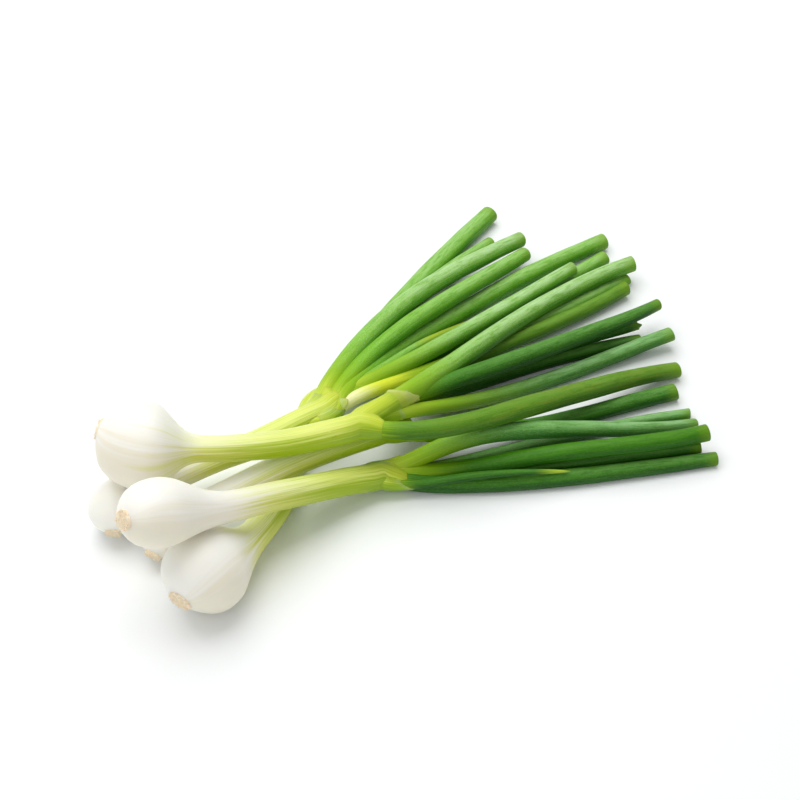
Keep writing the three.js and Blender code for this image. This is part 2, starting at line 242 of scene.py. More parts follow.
class Pile:
    """What already lies on the table."""

    def __init__(self, strands: Sequence[tuple[Strand, Pair | None]] = ()) -> None:
        """Starts a pile.

        Args:
            strands: what lies there; a pair says over which stretch of a sibling leaf
                the two part, and so how far the sibling counts.
        """
        self.strands = list(strands)

    def height(self, points: np.ndarray, radii: np.ndarray) -> np.ndarray:
        """How high a rod has to lie over the table and the pile.

        Args:
            points: the rod's plan points.
            radii: its radius at each.

        Returns:
            The least height of its middle at each point.
        """
        height = radii * SUNK
        for strand, parting in self.strands:
            first = math.ceil(parting[0] / strand.step) if parting else 0
            a, b = strand.points[first:-1], strand.points[first + 1 :]
            ra, rb = strand.radii[first:-1], strand.radii[first + 1 :]
            if not len(a):
                continue
            run = b - a
            square = run[:, 0] ** 2 + run[:, 1] ** 2
            rel = points[:, None, :2] - a[None, :, :2]
            t = np.clip((rel * run[None, :, :2]).sum(2) / square, 0.0, 1.0)
            away = np.linalg.norm(rel - t[..., None] * run[None, :, :2], axis=2)
            apart = 1.0
            if parting:
                apart = smoothstep((np.arange(first, first + len(a)) + t) * strand.step, *parting)
            reach = apart * (radii[:, None] + ra + t * (rb - ra) + CLEAR)
            slope = np.hypot(1.0, run[:, 2] / np.sqrt(square))
            over = a[:, 2] + t * run[:, 2] + slope * np.sqrt(np.maximum(reach**2 - away**2, 0))
            height = np.maximum(height, np.where(away < reach, over, -np.inf).max(axis=1))
        return height

    def settle(self, strand: Strand, held: int = 0) -> None:
        """Bends a strand over the pile with the least bending.

        Args:
            strand: the strand, whose heights are changed.
            held: how many of its first points keep their height.
        """
        points, radii = strand.points, strand.radii
        count = len(points)
        floor = self.height(points, radii)
        floor[:held] = points[:held, 2]
        stiffness = np.eye(count) * TINY
        kink = np.outer([1.0, -2.0, 1.0], [1.0, -2.0, 1.0])
        for k in range(1, count - 1):
            stiffness[k - 1 : k + 2, k - 1 : k + 2] += (radii[k] / THICK) ** 4 * kink
        load = -WEIGHT * (radii / THICK) ** 2
        rests = np.ones(count, bool)
        heights = floor
        for _ in range(ROUNDS):
            heights = np.linalg.solve(
                stiffness + np.diag(HARD * rests), load + HARD * floor * rests
            )
            touching = (np.arange(count) < held) | (heights < floor + np.where(rests, TINY, 0))
            if (touching == rests).all():
                break
            rests = touching
        points[:, 2] = np.maximum(heights, floor)


# ---------------------------------------------------------------- the plants


GRIP = 4.0  # how far past the collar the throat still holds a leaf
LEAF_STRETCHES = 16  # stretches that a leaf's plan is divided into
SHANK_STRETCHES = 26  # stretches that a shank's plan is divided into
LEAD_STRETCHES = 28  # stretches of the plan of the leaf that carries a shank on


class Green(Enum):
    """The greens that leaves come in: body colour and painted shade, painted lit side, bloom that
    is also a painted sheen, and its share.
    """

    FRESH = ((0.055, 0.240, 0.002), (0.200, 0.495, 0.024), (0.400, 0.650, 0.250), 0.75)
    PALE = ((0.055, 0.240, 0.002), (0.235, 0.530, 0.045), (0.520, 0.740, 0.400), 0.85)
    MID = ((0.014, 0.105, 0.001), (0.050, 0.215, 0.002), (0.125, 0.330, 0.022), 0.35)
    BLUE = ((0.020, 0.130, 0.006), (0.140, 0.380, 0.060), (0.330, 0.580, 0.270), 0.75)
    DEEP = ((0.006, 0.070, 0.001), (0.058, 0.230, 0.008), (0.165, 0.370, 0.090), 0.60)
    OLIVE = ((0.040, 0.140, 0.001), (0.130, 0.300, 0.012), (0.190, 0.370, 0.060), 0.55)


@dataclass(frozen=True)
class LeafPlan:
    """How one leaf lies and looks, and the sheath round its base."""

    tip: Pair  # its end in plan
    heads: Pair  # its headings at the throat and at the end
    widths: Triple  # taken at the throat, half way and at the end
    back: float  # how far before the collar it starts
    left: float  # how far to the left of the shank's middle it starts
    green: Green = Green.FRESH
    sleeve: float = 13.0  # how far past the collar its sheath reaches
    mouth: float = 180.0  # the turn at which the sheath opens
    bite: float = 7.0  # how much shorter the sheath is there
    swell: float = 0.9  # how much thicker the sheath is than the leaf
    paper: float = 0.35  # how dry the sheath's edge is
    throat: float = 34.0  # how far up the leaf the yellow-green reaches
    stain: float = 0.0  # how worn the leaf is
    cream: float = 0.0  # how far up the leaf its base is cream
    ragged: float = 0.0  # how deep its end is torn
    gilt: float = 1.0  # share of the leaf past which it is yellow-green again
    pointed: bool = False  # whole, with a point, where the others are cut

    def radius(self, total: float) -> Radius:
        """The radius of a leaf, a curve through its three widths.

        Args:
            total: the leaf's length.

        Returns:
            Its radius by the distance along it.
        """
        first, middle, last = self.widths

        def at(s: np.ndarray) -> np.ndarray:
            """Radius at distances from the leaf's start."""
            t = np.clip(np.asarray(s, float) / total, 0.0, 1.0)
            return (
                first * (1 - t) * (1 - 2 * t) + middle * 4 * t * (1 - t)
                + last * t * (2 * t - 1)
            ) / 2

        return at

    def plan(self, shank: Strand, back: float, left: float) -> Curve:
        """The leaf's plan, from inside the throat out to its end.

        Args:
            shank: the shank it grows from.
            back: how far before the collar it starts.
            left: how far to the left of the shank's middle.

        Returns:
            Its plan curve.
        """
        collar, turn = (v[0] for v in chorded(shank, shank.length))
        base = chorded(shank, shank.length - back)[0][0]
        across = np.cross(UP, turn)
        across[2] = 0.0
        aside = unit(across) * left
        level = np.array([1.0, 1.0, 0.0])
        mouth, end = (collar + aside) * level, np.array([*self.tip, 0.0])
        reach = float(np.linalg.norm(end - mouth)) / 3
        blade = Curve.bezier(
            mouth, mouth + heading(self.heads[0]) * reach,
            end - heading(self.heads[1]) * reach, end,
        )
        points = blade.spaced(LEAF_STRETCHES)
        if back > 0:
            points = np.vstack([(base + aside / 2) * level, points])
        return Curve.through(points)


def chorded(strand: Strand, distance: float) -> tuple[np.ndarray, np.ndarray]:
    """The point and direction on the straight stretches between a strand's points.

    Args:
        strand: the strand.
        distance: the distance along it.

    Returns:
        The point and the unit direction, each as one row.
    """
    last = len(strand.points) - 1
    place = min(max(distance / strand.step, 0.0), last)
    i = min(int(place), last - 1)

    def chord(k: int) -> np.ndarray:
        """Direction from the point before to the point after."""
        return unit(strand.points[min(k + 1, last)] - strand.points[max(k - 1, 0)])

    share = place - i
    point = strand.points[i] * (1 - share) + strand.points[i + 1] * share
    return point[None], unit(chord(i) * (1 - share) + chord(i + 1) * share)[None]


@dataclass(frozen=True)
class Web:
    """Skin that joins the bases of two leaves."""

    first: int
    second: int
    until: float  # how far past the collar it reaches on the first leaf
    lag: float = 1.0  # how far it reaches on the second leaf, as a share of the first


@dataclass(frozen=True)
class Sheath:
    """A papery sheath round the base of a leaf."""

    leaf: int
    start: float  # the stretch of the leaf that it covers
    end: float
    facing: float = 180.0  # the turn at which it is longest
    spread: float = 2.0  # how sharply it falls away to both sides of that


@dataclass(frozen=True)
class Bulb:
    """The sizes of a bulb."""

    radius: float
    base: float  # radius of the root plate
    length: float  # distance from the root end to the widest place
    drawn: float  # how slowly it narrows to the shank, as a share of its radius
    power: float  # how hollow its shoulder is


@dataclass
class Plant:
    """One spring onion: its sizes, how it lies, and the colours along its shank."""

    name: str
    bulb: Bulb
    shank: Pair  # its width near the bulb and at the collar
    route: Sequence[Pair]  # where bulb and shank lie in plan, from the root end
    leaves: Sequence[LeafPlan]
    webs: Sequence[Web] = ()
    sheath: Sheath | None = None
    droop: float = 0.0  # how far the root end hangs down
    white: float = 60.0  # how far below the collar the white ends
    spine: Strand = field(init=False)
    stem: Strand = field(init=False)
    blades: list[Strand] = field(init=False)

    def bulb_radius(self, total: float) -> Radius:
        """The radius of bulb and shank.

        Args:
            total: the length from the root end to the collar.

        Returns:
            The radius by the distance from the root end.
        """
        bulb = self.bulb
        wide, narrow = self.shank

        def at(s: np.ndarray) -> np.ndarray:
            """Radius at distances from the base."""
            s = np.asarray(s, float)
            shank = (wide + (narrow - wide) * np.minimum(1.0, s / total)) / 2
            out = np.clip(1 - s / bulb.length, 0.0, 1.0)
            near = np.maximum(bulb.base * (1 - 0.1 * s), bulb.radius * np.sqrt(1 - out**2.3))
            past = np.maximum(s - bulb.length, 0.0) / (bulb.drawn * bulb.radius)
            shoulder = shank + (bulb.radius - shank) * np.exp(-(past**bulb.power))
            return np.where(s < bulb.length, near, shoulder)

        return at

    def lay(self, pile: Pile) -> None:
        """Bends the shank and then each leaf over the pile, and adds them to it.

        Args:
            pile: what already lies on the table.
        """
        route = Curve.through(self.route)
        total = route.length
        radius = self.bulb_radius(total)
        lead = self.leaves[0]
        onwards = lead.plan(Strand.along(route, radius), 0.0, 0.0)
        whole = Curve.through(
            np.vstack([route.spaced(SHANK_STRETCHES), onwards.spaced(LEAD_STRETCHES)[1:]])
        )
        carried = lead.radius(whole.length - total)

        def spine_radius(s: np.ndarray) -> np.ndarray:
            """Radius of the shank, and past the collar of the leaf that carries it on."""
            return np.where(s < total, radius(s), carried(s - total))

        spine = Strand.along(whole, spine_radius)
        pile.settle(spine)
        before = np.arange(len(spine.points)) * spine.step / self.bulb.length
        spine.points[:, 2] -= self.droop * np.clip(1 - before, 0, None) ** 2
        self.spine = spine
        collar = math.floor(total / spine.step + 0.5)
        self.stem = Strand(spine.points[: collar + 1], spine.step, radius)
        inside = spine.points[collar - math.floor(lead.back / spine.step + 0.5) :]
        first = lead.radius(spine.step * (len(inside) - 1))
        self.blades = [Strand(inside, spine.step, first)]
        for leaf in self.leaves[1:]:
            self.blades.append(self._lay_leaf(leaf, pile))
        pile.strands += [(strand, None) for strand in (self.stem, *self.blades)]

    def _lay_leaf(self, leaf: LeafPlan, pile: Pile) -> Strand:
        """Lays one more leaf over the pile and the leaves before it.

        Args:
            leaf: the leaf.
            pile: what already lies on the table.

        Returns:
            The leaf's strand.
        """
        curve = leaf.plan(self.stem, leaf.back, leaf.left)
        strand = Strand.along(curve, leaf.radius(curve.length))
        slope = chorded(self.stem, self.stem.length)[1][0, 2]
        held = math.ceil((leaf.back + GRIP) / strand.step)
        for k in range(held):
            along = self.stem.length - leaf.back + k * strand.step
            beyond = max(0.0, along - self.stem.length)
            strand.points[k, 2] = chorded(self.stem, along)[0][0, 2] + beyond * slope
        parting = (SPREAD[0] * strand.length, SPREAD[1] * strand.length)
        siblings = [(other, parting) for other in self.blades]
        Pile([*pile.strands, *siblings]).settle(strand, held)
        return strand


FRESH, PALE, MID = Green.FRESH, Green.PALE, Green.MID
BLUE, DEEP, OLIVE = Green.BLUE, Green.DEEP, Green.OLIVE

# The plants in the order in which they are laid: the last one lies on top.
PLANTS = [
    Plant(
        "onion_5", Bulb(17.6, 4.8, 18.0, 0.95, 2.4), (13.4, 12.2),
        [(-87.2, -114), (-75, -96), (-62, -80), (-50, -53), (-45, -25), (-38, 4)],
        [
            LeafPlan((43, 137), (64, 54), (7, 9, 8.2), 12, 1, FRESH, sleeve=9, paper=0.2),
            LeafPlan((42.5, 116.5), (60, 48), (6.4, 7, 6.4), 10, -2, FRESH, sleeve=7, paper=0.2),
        ],
        [Web(1, 2, 16)],
        droop=4.0, white=98,
    ),
    Plant(
        "onion_3", Bulb(12.2, 3.4, 11, 0.95, 2.4), (12.0, 11.6),
        [(-118, -71), (-116, -59), (-104, -50), (-78, -36), (-61, -29), (-33, -12)],
        [
            LeafPlan((96, 106), (52, 41), (7.1, 7.6, 7), 6, -1, FRESH, sleeve=6, throat=40),
            LeafPlan((96.5, 117.5), (70, 31), (8, 8.6, 7.6), 12, -4, FRESH, sleeve=8, paper=0.2),
            LeafPlan((58.5, 103), (72, 47), (6.6, 8.6, 7.2), 8, -1, FRESH, sleeve=9, paper=0.2),
            LeafPlan((56.5, 110.5), (73, 38), (7.4, 9, 7.2), 10, 4.5, PALE, sleeve=9, paper=0.2),
            LeafPlan((45, 74), (42, 39), (4, 3.8, 1.2), 4, 3, PALE, gilt=0.5, pointed=True),
            LeafPlan((80, 90.5), (42, 41), (6, 7.2, 6.2), 6, 3, PALE, sleeve=10, throat=64),
            LeafPlan(
                (105.5, 92), (48, 37), (5.8, 6.4, 5.6), 6, -3, FRESH,
                sleeve=9, throat=110, cream=21,
            ),
        ],
        [Web(4, 3, 12), Web(2, 6, 12), Web(3, 2, 10), Web(6, 7, 8)],
        Sheath(7, 4, 16, 200, 3.0),
        droop=2.5, white=66,
    ),
    Plant(
        "onion_4", Bulb(11, 3.6, 11, 0.95, 2.4), (12.2, 11.6),
        [(-101, -82), (-95, -72), (-82, -63), (-68, -56), (-42, -42), (-6, -21)],
        [
            LeafPlan((121.5, 16.5), (1, 17), (8, 8, 7.6), 10, -2.5, DEEP),
            LeafPlan((108.5, 50), (59, 14), (7, 7, 6), 12, 1, DEEP),
            LeafPlan((108.5, 58), (60, 31), (6.6, 6.6, 5.8), 8, 2.5, DEEP, ragged=1.6),
            LeafPlan((104.5, 83.5), (70, 40), (6.4, 6.8, 6.4), 6, 3.5, OLIVE, throat=60),
        ],
        [Web(1, 2, 14), Web(2, 3, 12)],
        droop=1.0, white=62,
    ),
    Plant(
        "onion_2", Bulb(14, 4.2, 16, 1.1, 2), (13.2, 11.6),
        [(-106.8, -106), (-95, -97), (-72, -85), (-49, -67), (-21, -46), (-7, -38)],
        [
            LeafPlan(
                (135.5, -23.5), (-6, 11), (6.5, 7.4, 6), 10, -3, DEEP,
                sleeve=8, paper=0.2, throat=12,
            ),
            LeafPlan(
                (129, -17.5), (11, 14), (6.4, 6.6, 6), 10, 0, DEEP,
                sleeve=8, paper=0.2, throat=12,
            ),
            LeafPlan((126.5, 4), (15, 11), (5.6, 5.8, 5), 6, 2.5, BLUE, sleeve=10, paper=0.2),
            LeafPlan(
                (128.5, -2), (21, 24), (7, 8, 4.8), 8, 3.5, BLUE,
                sleeve=10, paper=0.2, throat=44,
            ),
            LeafPlan((131.5, -16.5), (12, 20), (8.6, 8, 7.6), 12, 2, MID, sleeve=8, paper=0.2),
            LeafPlan(
                (72, -36), (2, 6), (4, 3.8, 1.2), 4, -4.5, DEEP,
                throat=12, gilt=0.8, pointed=True,
            ),
        ],
        [Web(1, 5, 12), Web(4, 5, 12)],
        Sheath(5, 6, 17, 160, 4.0),
        white=70,
    ),
    Plant(
        "onion_1", Bulb(18.4, 4.8, 18.4, 0.77, 2.8), (10.4, 12),
        [(-122.4, -45.5), (-104, -52), (-82, -51), (-49, -45), (-29, -38), (-16, -32.5)],
        [
            LeafPlan(
                (123.5, 30.5), (-14, 22), (6.4, 9.4, 7.2), 10, -3, OLIVE,
                sleeve=9, bite=3, throat=15, paper=0.2, stain=0.3,
            ),
            LeafPlan(
                (122, 49.5), (46, 23), (5, 7, 6.6), 2, -1, BLUE,
                sleeve=25, bite=3, throat=84,
            ),
            LeafPlan(
                (117, 63.5), (54, 40), (7, 8.4, 5.4), 0, 3, DEEP,
                sleeve=29, bite=3, throat=44,
            ),
            LeafPlan((108, 95), (46, 24), (8.8, 8.4, 7.2), 8, 1, PALE, sleeve=32, throat=58),
        ],
        [Web(4, 2, 27, 0.8), Web(4, 3, 30, 0.95)],
        Sheath(4, 31, 43, 290),
        white=77,
    ),
]


# ---------------------------------------------------------------- skins

SHUT = -99.0  # an offset so far inwards that it closes a ring to a point
LEAF_SIDES = 36
LEAF_RING = 1.8  # spacing of a leaf's rings
LEAF_WALL = 0.75
HOLLOW = 14.0  # how deep a cut leaf is open
LEAN = 20.0  # stretch of a leaf over which the slant of its cut grows
POINT = 9.0  # length of a whole leaf's point
STEM_SIDES = 64
SLEEVE_SIDES = 28
BODY_RING = 1.2  # spacing of the rings of stem and sleeves
FADE = 13.0  # how far past the collar the stem runs out inside the throat
WEB_START = -4.0  # where webs start, from the collar
WEB_RINGS, WEB_SIDES = 18, 32
SLEEVE_EDGE = 0.12  # how far a sleeve stands off its leaf at the edge
SLEEVE_MORE = 0.25  # how much further it does so below the edge
SLEEVE_THIN = 5.0  # stretch over which it thins to the edge
SLEEVE_DIVE = 2.2  # how deep its start lies inside the shank
VOXEL = 0.5  # grain of the melted bodies
WELD = 2e-6  # corners closer than this are made one, in metres
GRAIN_ROUND = 5.0  # radius of the circle on which the grain counts turns
LOOK = 0.75  # spacing of the places on a tube that a point is compared with
BATCH = 4000  # points compared at a time
BELOW = 30.0  # how far below the collar a sleeve can still be seen
PLATE_SIDES = 40  # sides of a root plate
SPIRAL = 2.4  # turn from one cut root to the next, in radians
ROOT_SUNK = 0.6  # length of a cut root that is inside the plate
TUCK = 3.0  # how far a papery sheath runs on under the skin
PAPER = 0.22  # thickness of a papery sheath
PAPER_RINGS, PAPER_SIDES = 22, 72


class Ripple:
    """A gentle, seeded unevenness over the distance and the turn of a tube."""

    def __init__(self, rng: random.Random, depth: float, long: float, count: int = 5) -> None:
        """Draws the waves.

        Args:
            rng: where the draws come from.
            depth: about how far it goes either way.
            long: the length of the longest wave, in mm.
            count: how many waves are added up.
        """
        self.waves = [
            (
                depth * rng.uniform(0.4, 1.0) / math.sqrt(count),
                2 * math.pi / (long * rng.uniform(0.35, 1.0)) * rng.choice((-1, 1)),
                rng.choice((0, 1, 1, 2, 3)),
                rng.uniform(0, 2 * math.pi),
            )
            for _ in range(count)
        ]

    def __call__(self, along: np.ndarray, turn: np.ndarray) -> np.ndarray:
        """The unevenness at distances along and turns round."""
        return sum(a * np.cos(k * along + n * turn + p) for a, k, n, p in self.waves)


Shape = Callable[[np.ndarray, np.ndarray], np.ndarray]


@dataclass
class Tube:
    """A skin round a stretch of a strand, its radius given by distance and turn."""

    strand: Strand
    start: float
    end: float
    shape: Shape  # radius at distances and turns; a turn of 0 is the underside
    edge: Shape | None = None  # how much further than `end` it reaches, by turn

    def rows(self, stops: np.ndarray, offsets: np.ndarray, sides: int) -> np.ndarray:
        """Rings of points round the strand.

        Args:
            stops: the distance of each ring.
            offsets: what is added to the radius of each ring; SHUT closes it to a point.
            sides: how many sides a ring has.

        Returns:
            The points: rings by corners by 3, the first corner of a ring repeated last.
        """
        turn = np.linspace(0, 2 * math.pi, sides + 1)
        along, around = np.meshgrid(stops, turn, indexing="ij")
        if self.edge is not None:
            share = smoothstep(along, self.start, self.end)
            along = along + self.edge(along, around) * share
        radius = np.maximum(self.shape(along, around) + offsets[:, None], 0.0)
        point, _, side, up = (
            v.reshape(*along.shape, 3) for v in self.strand.frame(along.ravel())
        )
        across, rise = radius * np.sin(around), radius * np.cos(around)
        return point + side * across[..., None] - up * rise[..., None]

    def locate(self, points: np.ndarray) -> tuple[np.ndarray, np.ndarray, np.ndarray]:
        """How points lie to this skin.

        Args:
            points: points near it, one a row.

        Returns:
            Their distance outside its surface, distance along it, and turn.
        """
        stops = np.arange(self.start, self.end + 0.5, LOOK)
        axis, direction, side, up = self.strand.frame(stops)
        nearest = np.concatenate([
            ((part[:, None] - axis[None]) ** 2).sum(2).argmin(axis=1)
            for part in np.array_split(points, max(1, len(points) // BATCH))
        ])
        rel = points - axis[nearest]
        slip = (rel * direction[nearest]).sum(1)
        along = stops[nearest] + np.clip(slip, -1, 1)
        turn = np.arctan2((rel * side[nearest]).sum(1), -(rel * up[nearest]).sum(1))
        away = np.sqrt(np.maximum((rel**2).sum(1) - slip**2, 0))
        outside = away - self.shape(along, turn)
        reach = self.end + (self.edge(along, turn) if self.edge else 0)
        past = np.maximum(np.maximum(along + np.abs(slip) - reach, self.start - along), 0)
        return np.hypot(np.maximum(outside, 0), past) + np.minimum(outside, 0), along, turn


Marks = dict[str, np.ndarray]


def grid_mesh(rows: np.ndarray, marks: Marks) -> bmesh.types.BMesh:
    """Bends a flat grid into rows of points.

    Args:
        rows: the points, rows by columns by 3, in mm.
        marks: numbers or vectors kept at each point, by name.

    Returns:
        The mesh, in metres, with corners that coincide made one.
    """
    long, wide = rows.shape[:2]
    mesh = bmesh.new()
    kinds = mesh.verts.layers
    layers = {
        name: (kinds.float if values.ndim == 2 else kinds.float_vector).new(name)
        for name, values in marks.items()
    }
    made = bmesh.ops.create_grid(mesh, x_segments=long - 1, y_segments=wide - 1, size=0.5)
    for vert in made["verts"]:
        i = round((vert.co.x + 0.5) * (long - 1))
        k = round((vert.co.y + 0.5) * (wide - 1))
        vert.co = (rows[i, k] - ORIGIN) * MM
        for name, layer in layers.items():
            vert[layer] = marks[name][i, k].tolist()
    bmesh.ops.remove_doubles(mesh, verts=mesh.verts, dist=WELD)
    bmesh.ops.recalc_face_normals(mesh, faces=mesh.faces)
    return mesh


def grain_of(along: np.ndarray, turn: np.ndarray) -> np.ndarray:
    """A place on a tube's skin as a vector that has no seam: round it and along it."""
    return np.stack([GRAIN_ROUND * np.cos(turn), GRAIN_ROUND * np.sin(turn), along], axis=-1)


def to_object(mesh: bmesh.types.BMesh, name: str) -> bpy.types.Object:
    """Makes a smooth object of a mesh.

    Args:
        mesh: the mesh, which is freed.
        name: the object's name.

    Returns:
        The object, linked to the scene.
    """
    data = bpy.data.meshes.new(name)
    for face in mesh.faces:
        face.smooth = True
    mesh.to_mesh(data)
    mesh.free()
    made = bpy.data.objects.new(name, data)
    bpy.context.scene.collection.objects.link(made)
    return made


@dataclass
class LeafSkin:
    """The finished skin of one hollow leaf with its cut end, or of one with a point."""

    plan: LeafPlan
    strand: Strand
    rng: random.Random

    def __post_init__(self) -> None:
        """Draws what makes this leaf a little unlike the others."""
        self.ripple = Ripple(self.rng, 0.022, 60.0)
        self.oval = self.rng.uniform(0, math.pi)
        self.flat = self.rng.uniform(0.015, 0.05)
        self.slant = (self.rng.uniform(-0.5, 0.5), self.rng.uniform(0, 2 * math.pi))
        self.tear = Ripple(self.rng, self.plan.ragged, 9.0, 7)

    def shape(self, along: np.ndarray, turn: np.ndarray) -> np.ndarray:
        """The radius of its outside.

        Args:
            along: distances along the leaf.
            turn: turns round it.

        Returns:
            The radius at each.
        """
        base = self.strand.radius(np.clip(along, 0, self.strand.length))
        if self.plan.pointed:
            left = np.clip((self.strand.length - along) / POINT, 0.0, 1.0)
            base = base * np.sqrt(1 - (1 - left) ** 2 * 0.96)
        oval = self.flat * np.cos(2 * (turn - self.oval))
        return base * (1 + oval + self.ripple(along, turn))

    def edge(self, _: np.ndarray, turn: np.ndarray) -> np.ndarray:
        """How the cut end leans, and where it is torn.

        Args:
            turn: turns round the leaf.

        Returns:
            How much further than its end the leaf reaches at each.
        """
        lean, way = self.slant
        torn = self.tear(0 * turn, 2 * turn) - abs(self.plan.ragged) if self.plan.ragged else 0
        return lean * np.cos(turn - way) + torn

    def build(self, name: str) -> bpy.types.Object:
        """Makes the leaf's mesh.

        Args:
            name: the object's name.

        Returns:
            The object.
        """
        strand, end = self.strand, self.strand.length
        tube = Tube(strand, end - LEAN, end, self.shape, self.edge)
        outer = np.linspace(0.0, end - 0.25, round(end / LEAF_RING))
        stops, offsets, inner = [0.0, *outer], [SHUT, *(0 * outer)], [0.0] * (len(outer) + 1)
        if self.plan.pointed:
            stops += [end, end + 0.1]
            offsets += [-0.15, SHUT]
            inner += [0.0, 0.0]
        else:
            depth = np.linspace(0.3, HOLLOW, 9)
            stops += [end, end, *(end - depth), end - HOLLOW]
            offsets += [-0.12, 0.12 - LEAF_WALL, *(0 * depth - LEAF_WALL), SHUT]
            inner += [0.4, 0.6, *(0 * depth + 1.0), 1.0]
        stops, offsets, inner = map(np.array, (stops, offsets, inner))
        rows = tube.rows(stops, offsets, LEAF_SIDES)
        around = np.linspace(0, 2 * math.pi, LEAF_SIDES + 1)
        along, turn = np.meshgrid(stops, around, indexing="ij")
        marks = {
            "grain": grain_of(along, turn),
            "tone": along - self.plan.back,
            "inner": np.broadcast_to(inner[:, None], along.shape),
            "share": along / end,
        }
        return to_object(grid_mesh(rows, marks), name)


@dataclass
class BodySkin:
    """Bulb, shank and the bases of the leaf sheaths, melted into one skin."""

    plant: Plant
    rng: random.Random

    def __post_init__(self) -> None:
        """Draws the bulb's unevenness and lists the tubes it is melted from."""
        plant = self.plant
        self.lobes = [(n, self.rng.uniform(0, 6.28), self.rng.uniform(0.4, 1)) for n in (3, 5, 8)]
        self.ripple = Ripple(self.rng, 0.018, 70.0)
        collar = plant.stem.length
        self.stem = Tube(plant.spine, 0.0, collar + FADE, self.stem_shape)
        self.sleeves = [self.sleeve(i) for i in range(len(plant.leaves))]
        self.webs = [self.web(web) for web in plant.webs]

    def stem_shape(self, along: np.ndarray, turn: np.ndarray) -> np.ndarray:
        """The radius of bulb and shank, which fades out in the throat.

        Args:
            along: distances from the root end.
            turn: turns round the stem.

        Returns:
            The radius at each.
        """
        plant = self.plant
        total = plant.stem.length
        base = plant.stem.radius(np.minimum(along, total))
        size = (base / plant.bulb.radius) ** 2
        lobe = sum(a * np.cos(n * turn + p) / n for n, p, a in self.lobes) * 0.022 * size
        fade = np.sqrt(np.maximum(1 - np.clip((along - total) / FADE, 0, 1) ** 2 * 0.9, 0))
        return base * fade * (1 + lobe + self.ripple(along, turn) * 0.7)

    def sleeve(self, i: int) -> Tube:
        """The sheath round the base of a leaf, longest where it faces outwards.

        Args:
            i: which leaf of the plant, from 0.

        Returns:
            The sheath as a tube.
        """
        leaf, strand = self.plant.leaves[i], self.plant.blades[i]
        end = leaf.back + leaf.sleeve
        opening = math.radians(leaf.mouth)

        def shape(along: np.ndarray, turn: np.ndarray) -> np.ndarray:
            """A little wider than the leaf, thinning out towards its edge."""
            left = np.clip((end + edge(along, turn) - along) / SLEEVE_THIN, 0, 1)
            grown = leaf.swell * (1 - smoothstep(along, 0.0, end)) + SLEEVE_EDGE
            grown = grown + SLEEVE_MORE * left
            inside = SLEEVE_DIVE * (1 - smoothstep(along, 0.0, max(leaf.back, 4.0)))
            return strand.radius(np.clip(along, 0, strand.length)) + grown - inside

        def edge(_: np.ndarray, turn: np.ndarray) -> np.ndarray:
            """Shorter by up to `bite` where the sheath opens."""
            return -leaf.bite * (0.5 + 0.5 * np.cos(turn - opening)) ** 2

        return Tube(strand, 0.0, end, shape, edge)

    def web(self, web: Web) -> bmesh.types.BMesh:
        """A flat sheath round two leaf bases, closed where it ends.

        Args:
            web: which leaves it joins, and how far up.

        Returns:
            Its mesh, in metres.
        """
        a, b = self.plant.blades[web.first - 1], self.plant.blades[web.second - 1]
        back = [self.plant.leaves[k - 1].back for k in (web.first, web.second)]
        past = np.linspace(WEB_START, web.until, WEB_RINGS)
        turn = np.linspace(0, 2 * math.pi, WEB_SIDES + 1)
        pa, da, _, _ = a.frame(past + back[0])
        pb, _, _, _ = b.frame(past * web.lag + back[1])
        ra = a.radius(np.clip(past + back[0], 0, None)) + 0.3
        rb = b.radius(np.clip(past * web.lag + back[1], 0, None)) + 0.3
        gap = pb - pa
        wide = np.linalg.norm(gap, axis=1)
        across = unit(gap)
        lift = unit(np.cross(across, da))
        middle = (pa + pb) / 2
        half = wide / 2 + (ra + rb) / 2
        close = np.interp(past, [WEB_START, 0.6 * web.until, web.until], [1.0, 1.05, 0.55])
        thick = np.maximum(ra, rb) * close
        cos, sin = np.cos(turn), np.sin(turn)
        bow = np.sign(cos) * np.abs(cos) ** 0.8
        rows = (
            middle[:, None]
            + across[:, None] * (half[:, None] * bow)[..., None]
            + lift[:, None] * (thick[:, None] * sin)[..., None]
        )
        caps = [middle[:1, None] + 0 * rows[:1], rows, middle[-1:, None] + 0 * rows[:1]]
        return grid_mesh(np.concatenate(caps), {})

    def build(self, name: str) -> bpy.types.Object:
        """Melts the tubes together and marks the skin.

        Args:
            name: the object's name.

        Returns:
            The object.
        """
        solids = []
        tubes = [(self.stem, STEM_SIDES), *((sleeve, SLEEVE_SIDES) for sleeve in self.sleeves)]
        for tube, sides in tubes:
            count = round((tube.end - tube.start) / BODY_RING) + 2
            stops = np.linspace(tube.start, tube.end, count)
            if tube is self.stem:
                # closer rings where the bulb rounds off towards its root end
                near = self.plant.bulb.length * np.array([0.0, 0.01, 0.03, 0.06, 0.1, 0.15])
                stops = np.unique(np.concatenate([near, stops]))
            stops = np.concatenate([stops[:1], stops, stops[-1:]])
            offsets = np.zeros(len(stops))
            offsets[[0, -1]] = SHUT
            solids.append(grid_mesh(tube.rows(stops, offsets, sides), {}))
        whole = bmesh.new()
        for part in solids + self.webs:
            data = bpy.data.meshes.new("part")
            part.to_mesh(data)
            part.free()
            whole.from_mesh(data)
            bpy.data.meshes.remove(data)
        rough = to_object(whole, f"{name}_rough")
        melt = rough.modifiers.new("melt", "REMESH")
        melt.mode, melt.voxel_size, melt.use_smooth_shade = "VOXEL", VOXEL * MM, True
        even = rough.modifiers.new("even", "SMOOTH")
        even.factor, even.iterations = 0.5, 6
        return self.mark(melted(rough, name))

